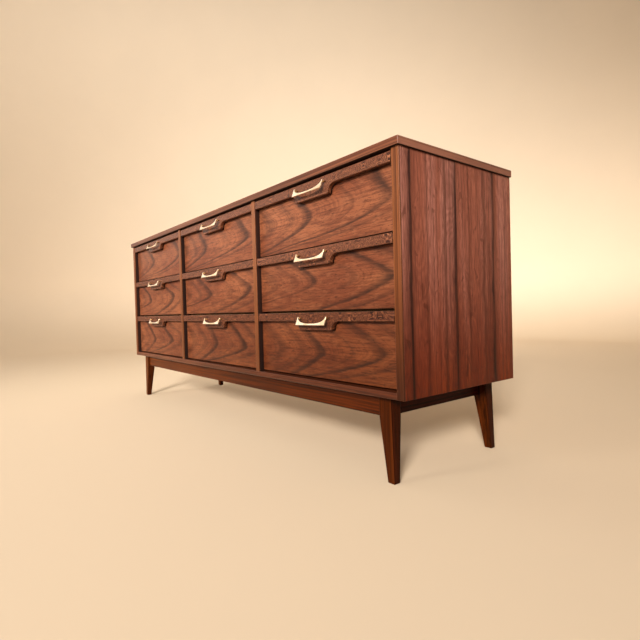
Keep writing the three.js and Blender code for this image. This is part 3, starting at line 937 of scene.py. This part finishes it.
SKY_LOW = 0.22
SKY_HIGH = 0.42
SKY_COLOUR = (1.0, 0.90, 0.76, 1.0)
# Lights: name, place, target, size, power, colour, spread in degrees. The key stands in front to
# the right, the wash is on the backdrop, the left panel is what the pulls reflect, and the fill
# lifts the left columns.
LIGHTS = (
    ("key", (4.5, -5.6, 3.1), (0.1, 0.0, 0.6), (1.6, 1.2), 95, (1.0, 0.93, 0.84), 50),
    ("wash", (-1.1, 0.5, 5.6), (-4.2, 2.2, 1.8), (4.0, 2.4), 66, (1.0, 0.93, 0.84), 120),
    ("left", (-4.5, -2.6, 3.0), (0.0, -0.2, 1.4), (4.0, 3.8), 50, (1.0, 0.92, 0.82), 180),
    ("fill", (-1.6, -5.4, 2.0), (-1.0, 0.0, 0.45), (2.4, 1.6), 23, (1.0, 0.92, 0.80), 40),
)
# The backdrop: its radius, the radius of the curve at its foot, its height, and its sweep.
WALL_RADIUS = 5.0
WALL_TURN = 0.8
WALL_HEIGHT = 6.5
WALL_START = -30
WALL_STEP = 3.7
WALL_STEPS = 60


def paper():
    """Studio paper: pale floor that turns into a brighter, warmer backdrop."""
    nodes = Nodes("studio_paper")
    mottle = nodes.noise(nodes.stretch((2, 2, 2)), detail=3)
    level = nodes.split(nodes.coordinates)[2]
    tint = nodes.mix(nodes.span(level, 0.02, 0.9), linear("#cfbda6"), linear("#fbebd6"))
    tint = nodes.mix(nodes.span(mottle, 0.3, 0.7, 0.0, 0.03), tint, linear("#b8aea2"))
    return nodes.finish(tint, 0.9, mottle, bump=0.05, coat=0.0, specular=0.2)


def area_light(name, place, target, size, power, colour, spread):
    light = bpy.data.lights.new(name, "AREA")
    light.shape = "RECTANGLE"
    light.size, light.size_y = size
    light.energy = power
    light.color = colour
    light.spread = math.radians(spread)
    lamp = bpy.data.objects.new(name, light)
    bpy.context.scene.collection.objects.link(lamp)
    lamp.location = place
    lamp.rotation_euler = (Vector(target) - Vector(place)).to_track_quat("-Z", "Y").to_euler()


def sky():
    """Soft light from everywhere, brighter from above."""
    world = bpy.data.worlds.new("studio")
    world.use_nodes = True
    tree = world.node_tree
    background = tree.nodes["Background"]
    direction = tree.nodes.new("ShaderNodeTexCoord").outputs["Generated"]
    split = tree.nodes.new("ShaderNodeSeparateXYZ")
    tree.links.new(direction, split.inputs[0])
    level = tree.nodes.new("ShaderNodeMapRange")
    level.interpolation_type = "SMOOTHSTEP"
    tree.links.new(split.outputs[2], level.inputs["Value"])
    for key, value in {"From Min": 0.10, "From Max": 0.60, "To Min": SKY_LOW,
                       "To Max": SKY_HIGH}.items():
        level.inputs[key].default_value = value
    tree.links.new(level.outputs["Result"], background.inputs["Strength"])
    background.inputs["Color"].default_value = SKY_COLOUR
    bpy.context.scene.world = world


def build_stage():
    """A pale floor that curves up into a round backdrop, the light from all round and the
    lights."""
    foot = WALL_RADIUS - WALL_TURN
    profile = [(foot, 0.0)]
    profile += [(foot + WALL_TURN * math.sin(a), WALL_TURN - WALL_TURN * math.cos(a))
                for a in (math.radians(9 * i) for i in range(1, 10))]
    profile += [(WALL_RADIUS, WALL_TURN), (WALL_RADIUS, WALL_HEIGHT)]
    bm = bmesh.new()
    sweep = [math.radians(WALL_START + WALL_STEP * i) for i in range(WALL_STEPS + 1)]
    hub = bm.verts.new((0.0, 0.0, 0.0))
    spokes = [[bm.verts.new((r * math.cos(a), r * math.sin(a), z)) for r, z in profile]
              for a in sweep]
    for first, second in zip(spokes, spokes[1:]):
        bm.faces.new((hub, first[0], second[0]))
        for i in range(len(profile) - 1):
            bm.faces.new((first[i], first[i + 1], second[i + 1], second[i]))
    bm.faces.new((hub, spokes[-1][0], spokes[0][0]))
    mesh = bpy.data.meshes.new("studio_floor")
    bm.to_mesh(mesh)
    bm.free()
    mesh.materials.append(paper())
    mesh.polygons.foreach_set("use_smooth", [True] * len(mesh.polygons))
    floor = bpy.data.objects.new("studio_floor", mesh)
    bpy.context.scene.collection.objects.link(floor)
    sky()
    for light in LIGHTS:
        area_light(*light)
    bpy.context.scene.view_settings.view_transform = "Standard"
    bpy.context.scene.view_settings.look = "None"


# ---- camera ---------------------------------------------------------------------------------

CAMERA_PLACE = (1.59326, -0.99873, 0.41172)
CAMERA_YAW = 51.183
CAMERA_PITCH = -1.19
CAMERA_ROLL = -1.621
FOCAL_LENGTH = 26.18
SENSOR_WIDTH = 36.0


def build_camera():
    """The camera of the picture's viewing angle."""
    yaw, pitch, roll = (math.radians(a) for a in (CAMERA_YAW, CAMERA_PITCH, CAMERA_ROLL))
    forward = Vector((-math.sin(yaw) * math.cos(pitch), math.cos(yaw) * math.cos(pitch),
                      math.sin(pitch)))
    right = Vector((math.cos(yaw), math.sin(yaw), 0.0))
    up = right.cross(forward)
    across = math.cos(roll) * right + math.sin(roll) * up
    upward = -math.sin(roll) * right + math.cos(roll) * up
    lens = bpy.data.cameras.new("photo_angle")
    lens.lens = FOCAL_LENGTH
    lens.sensor_width = SENSOR_WIDTH
    lens.clip_start = 0.02
    camera = bpy.data.objects.new("photo_angle", lens)
    bpy.context.scene.collection.objects.link(camera)
    matrix = Matrix((across, upward, -forward)).transposed().to_4x4()
    matrix.translation = Vector(CAMERA_PLACE)
    camera.matrix_world = matrix
    bpy.context.scene.camera = camera


build_case()
build_base()
build_drawers()
build_stage()
build_camera()
